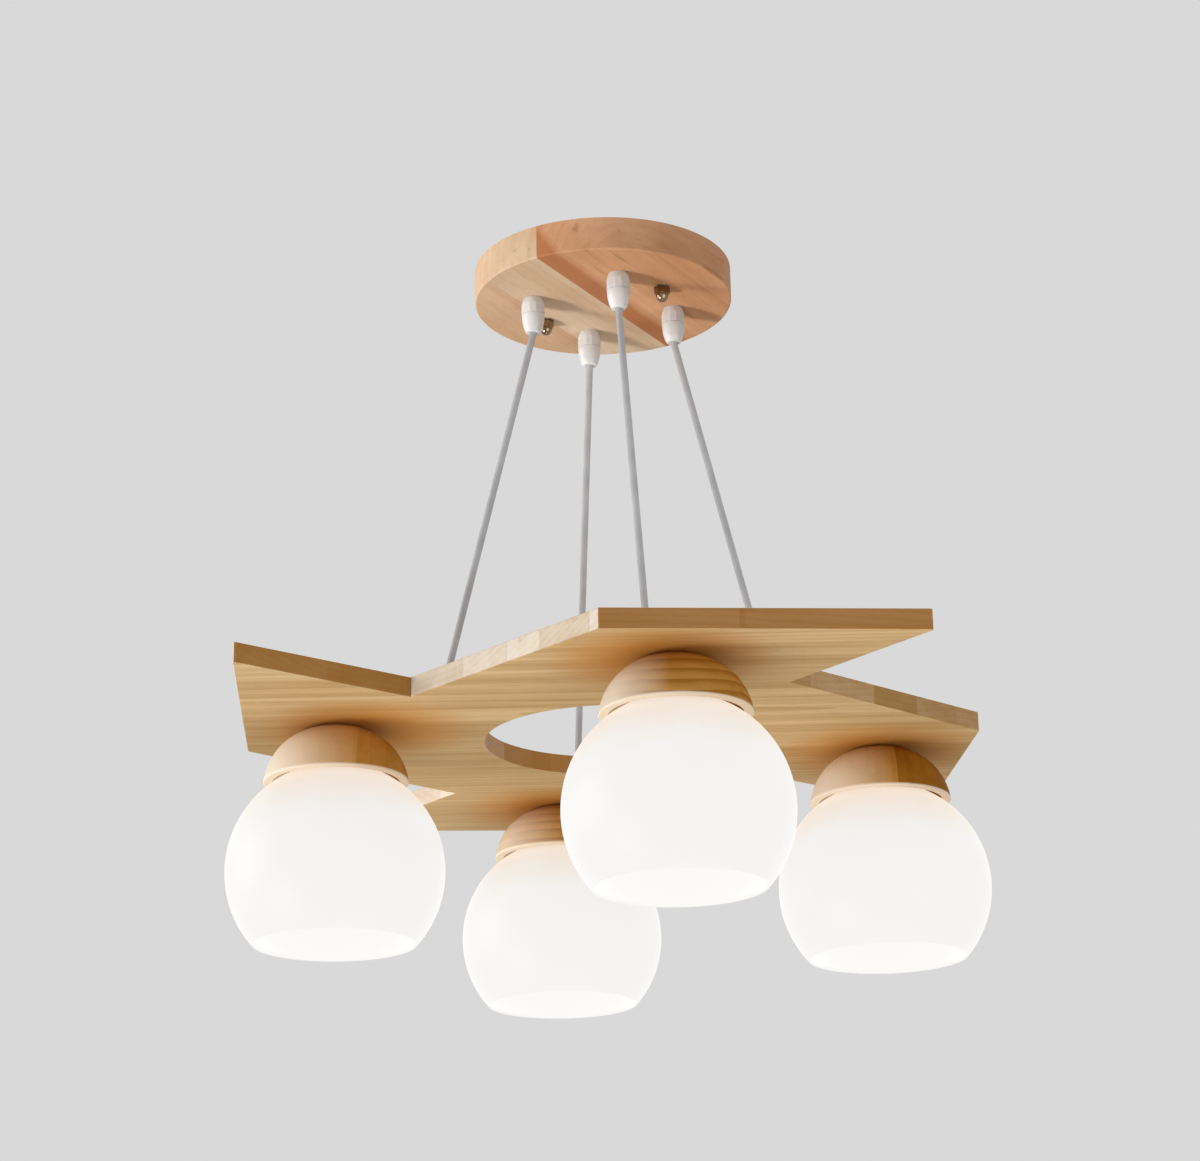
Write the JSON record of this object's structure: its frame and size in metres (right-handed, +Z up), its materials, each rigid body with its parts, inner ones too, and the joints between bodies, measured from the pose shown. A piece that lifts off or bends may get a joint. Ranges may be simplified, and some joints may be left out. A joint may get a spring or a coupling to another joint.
{
  "type": "pendant light",
  "caption": "Wooden pendant: round ceiling canopy, taut cords to a flat pinwheel board, and turned wooden cups holding open opal glass globes.",
  "frame": {"origin": "centre of the canopy's top rim, in the plane of the ceiling", "axes": "+Z up towards the ceiling, -Y towards the near lamp's side, +X to the right seen from the near side"},
  "size_m": [0.5314, 0.5314, 0.5125],
  "materials": {
    "canopy_wood": "satin",
    "board_wood": "satin",
    "cup_wood": "satin",
    "opal_glass": "gloss",
    "bulb_glass": "matte",
    "grip_nylon": "satin",
    "cord_sheath": "satin",
    "core_sheath": "satin",
    "polished_nut": "polished",
    "zinc_steel": "satin",
    "contact_brass": "satin",
    "holder_plastic": "satin",
    "bulb_cap_metal": "satin",
    "block_plastic": "satin"
  },
  "bodies": {
    "canopy": {"canopy_disc": "canopy_wood", "ceiling_bracket": "zinc_steel", "canopy_studs": "zinc_steel", "stud_lock_nuts": "zinc_steel", "canopy_cap_nuts": "polished_nut", "cap_nut_washers": "polished_nut", "junction_block": "block_plastic", "junction_screws": "zinc_steel", "cord_tails": "cord_sheath", "canopy_cores": "core_sheath", "grip_bodies": "grip_nylon", "grip_lock_nuts": "grip_nylon", "grip_collets": "grip_nylon", "cord_1": "cord_sheath", "cord_2": "cord_sheath", "cord_3": "cord_sheath", "cord_4": "cord_sheath"},
    "lamp_board": {"board": "board_wood", "board_bushes": "grip_nylon", "sheath_ends": "cord_sheath", "board_cores": "core_sheath", "groove_covers": "board_wood", "cover_screws": "zinc_steel", "nipples": "zinc_steel", "nipple_washers": "zinc_steel", "nipple_nuts": "zinc_steel", "screw_shells": "contact_brass", "centre_contacts": "contact_brass", "wood_cup_1": "cup_wood", "wood_cup_2": "cup_wood", "wood_cup_3": "cup_wood", "wood_cup_4": "cup_wood", "lampholder_1": "holder_plastic", "lampholder_2": "holder_plastic", "lampholder_3": "holder_plastic", "lampholder_4": "holder_plastic"},
    "grip_cap_1": {"grip_cap_1": "grip_nylon"},
    "shade_1": {"glass_shade_1": "opal_glass"},
    "shade_ring_1": {"shade_ring_1": "holder_plastic"},
    "bulb_tip_1": {"bulb_contact_1": "contact_brass"},
    "bulb_1": {"bulb_envelope_1": "bulb_glass", "bulb_cap_1": "bulb_cap_metal"},
    "grip_cap_2": {"grip_cap_2": "grip_nylon"},
    "shade_2": {"glass_shade_2": "opal_glass"},
    "shade_ring_2": {"shade_ring_2": "holder_plastic"},
    "bulb_tip_2": {"bulb_contact_2": "contact_brass"},
    "bulb_2": {"bulb_envelope_2": "bulb_glass", "bulb_cap_2": "bulb_cap_metal"},
    "grip_cap_3": {"grip_cap_3": "grip_nylon"},
    "shade_3": {"glass_shade_3": "opal_glass"},
    "shade_ring_3": {"shade_ring_3": "holder_plastic"},
    "bulb_tip_3": {"bulb_contact_3": "contact_brass"},
    "bulb_3": {"bulb_envelope_3": "bulb_glass", "bulb_cap_3": "bulb_cap_metal"},
    "grip_cap_4": {"grip_cap_4": "grip_nylon"},
    "shade_4": {"glass_shade_4": "opal_glass"},
    "shade_ring_4": {"shade_ring_4": "holder_plastic"},
    "bulb_tip_4": {"bulb_contact_4": "contact_brass"},
    "bulb_4": {"bulb_envelope_4": "bulb_glass", "bulb_cap_4": "bulb_cap_metal"}
  },
  "joints": [
    {"name": "height_adjust", "type": "slide", "parent": "canopy", "child": "lamp_board", "axis": [0, 0, 1], "range_m": [0, 0.25], "deforming": ["cord_1", "cord_2", "cord_3", "cord_4"]},
    {"name": "grip_cap_1_turn", "type": "hinge", "parent": "canopy", "child": "grip_cap_1", "pos_m": [0.01102, -0.05184, -0.04525], "axis": [0, 0, -1], "range_deg": [0, 360]},
    {"name": "shade_1_drop", "type": "slide", "parent": "lamp_board", "child": "shade_1", "axis": [0, 0, -1], "range_m": [0, 0.015]},
    {"name": "shade_ring_1_turn", "type": "hinge", "parent": "shade_1", "child": "shade_ring_1", "pos_m": [0.04054, -0.19074, -0.4008], "axis": [0, 0, -1], "range_deg": [0, 2170]},
    {"name": "bulb_1_travel", "type": "slide", "parent": "lamp_board", "child": "bulb_tip_1", "axis": [0, 0, -1], "range_m": [0, 0.0181]},
    {"name": "bulb_1_turn", "type": "hinge", "parent": "bulb_tip_1", "child": "bulb_1", "pos_m": [0.04054, -0.19074, -0.427], "axis": [0, 0, -1], "range_deg": [0, 1800]},
    {"name": "grip_cap_2_turn", "type": "hinge", "parent": "canopy", "child": "grip_cap_2", "pos_m": [0.05184, 0.01102, -0.04525], "axis": [0, 0, -1], "range_deg": [0, 360]},
    {"name": "shade_2_drop", "type": "slide", "parent": "lamp_board", "child": "shade_2", "axis": [0, 0, -1], "range_m": [0, 0.015]},
    {"name": "shade_ring_2_turn", "type": "hinge", "parent": "shade_2", "child": "shade_ring_2", "pos_m": [0.19074, 0.04054, -0.4008], "axis": [0, 0, -1], "range_deg": [0, 2170]},
    {"name": "bulb_2_travel", "type": "slide", "parent": "lamp_board", "child": "bulb_tip_2", "axis": [0, 0, -1], "range_m": [0, 0.0181]},
    {"name": "bulb_2_turn", "type": "hinge", "parent": "bulb_tip_2", "child": "bulb_2", "pos_m": [0.19074, 0.04054, -0.427], "axis": [0, 0, -1], "range_deg": [0, 1800]},
    {"name": "grip_cap_3_turn", "type": "hinge", "parent": "canopy", "child": "grip_cap_3", "pos_m": [-0.01102, 0.05184, -0.04525], "axis": [0, 0, -1], "range_deg": [0, 360]},
    {"name": "shade_3_drop", "type": "slide", "parent": "lamp_board", "child": "shade_3", "axis": [0, 0, -1], "range_m": [0, 0.015]},
    {"name": "shade_ring_3_turn", "type": "hinge", "parent": "shade_3", "child": "shade_ring_3", "pos_m": [-0.04054, 0.19074, -0.4008], "axis": [0, 0, -1], "range_deg": [0, 2170]},
    {"name": "bulb_3_travel", "type": "slide", "parent": "lamp_board", "child": "bulb_tip_3", "axis": [0, 0, -1], "range_m": [0, 0.0181]},
    {"name": "bulb_3_turn", "type": "hinge", "parent": "bulb_tip_3", "child": "bulb_3", "pos_m": [-0.04054, 0.19074, -0.427], "axis": [0, 0, -1], "range_deg": [0, 1800]},
    {"name": "grip_cap_4_turn", "type": "hinge", "parent": "canopy", "child": "grip_cap_4", "pos_m": [-0.05184, -0.01102, -0.04525], "axis": [0, 0, -1], "range_deg": [0, 360]},
    {"name": "shade_4_drop", "type": "slide", "parent": "lamp_board", "child": "shade_4", "axis": [0, 0, -1], "range_m": [0, 0.015]},
    {"name": "shade_ring_4_turn", "type": "hinge", "parent": "shade_4", "child": "shade_ring_4", "pos_m": [-0.19074, -0.04054, -0.4008], "axis": [0, 0, -1], "range_deg": [0, 2170]},
    {"name": "bulb_4_travel", "type": "slide", "parent": "lamp_board", "child": "bulb_tip_4", "axis": [0, 0, -1], "range_m": [0, 0.0181]},
    {"name": "bulb_4_turn", "type": "hinge", "parent": "bulb_tip_4", "child": "bulb_4", "pos_m": [-0.19074, -0.04054, -0.427], "axis": [0, 0, -1], "range_deg": [0, 1800]}
  ],
  "couplings": [
    {"joint": "shade_ring_1_turn", "follows": "shade_1_drop", "rad_per_m": 2513.3},
    {"joint": "bulb_1_turn", "follows": "bulb_1_travel", "rad_per_m": 1731.4},
    {"joint": "shade_ring_2_turn", "follows": "shade_2_drop", "rad_per_m": 2513.3},
    {"joint": "bulb_2_turn", "follows": "bulb_2_travel", "rad_per_m": 1731.4},
    {"joint": "shade_ring_3_turn", "follows": "shade_3_drop", "rad_per_m": 2513.3},
    {"joint": "bulb_3_turn", "follows": "bulb_3_travel", "rad_per_m": 1731.4},
    {"joint": "shade_ring_4_turn", "follows": "shade_4_drop", "rad_per_m": 2513.3},
    {"joint": "bulb_4_turn", "follows": "bulb_4_travel", "rad_per_m": 1731.4}
  ]
}
